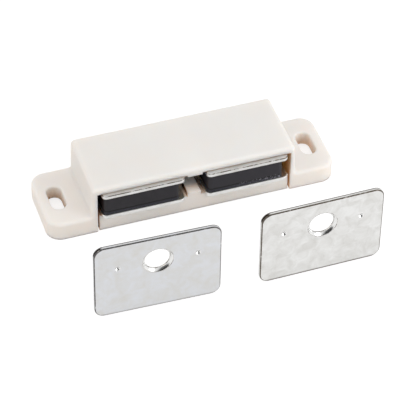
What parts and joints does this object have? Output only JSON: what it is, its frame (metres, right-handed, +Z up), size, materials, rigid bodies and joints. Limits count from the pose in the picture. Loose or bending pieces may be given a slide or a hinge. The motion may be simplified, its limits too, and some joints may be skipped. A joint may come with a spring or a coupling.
{
  "type": "magnetic catch",
  "caption": "Surface-mounted double magnetic catch: white housing with slotted ears, magnets between steel pole plates, and countersunk steel strike plates.",
  "frame": {"origin": "middle of the housing's mounting face", "axes": "+X along the housing from ear to ear, -Y the way the open front looks, +Z up from the mounting face"},
  "size_m": [0.0907, 0.0585, 0.0268],
  "materials": {
    "housing_plastic": "satin white moulding",
    "tray_plastic": "satin white moulding",
    "ferrite": "dull ground ferrite",
    "pole_steel": "bright zinc plate",
    "strike_steel": "mottled zinc plate"
  },
  "bodies": {
    "root": {"housing": "housing_plastic", "magnet_tray": "tray_plastic", "left_magnet": "ferrite", "right_magnet": "ferrite", "left_upper_pole_plate": "pole_steel", "left_lower_pole_plate": "pole_steel", "right_upper_pole_plate": "pole_steel", "right_lower_pole_plate": "pole_steel", "left_strike_plate": "strike_steel", "right_strike_plate": "strike_steel"}
  },
  "joints": []
}
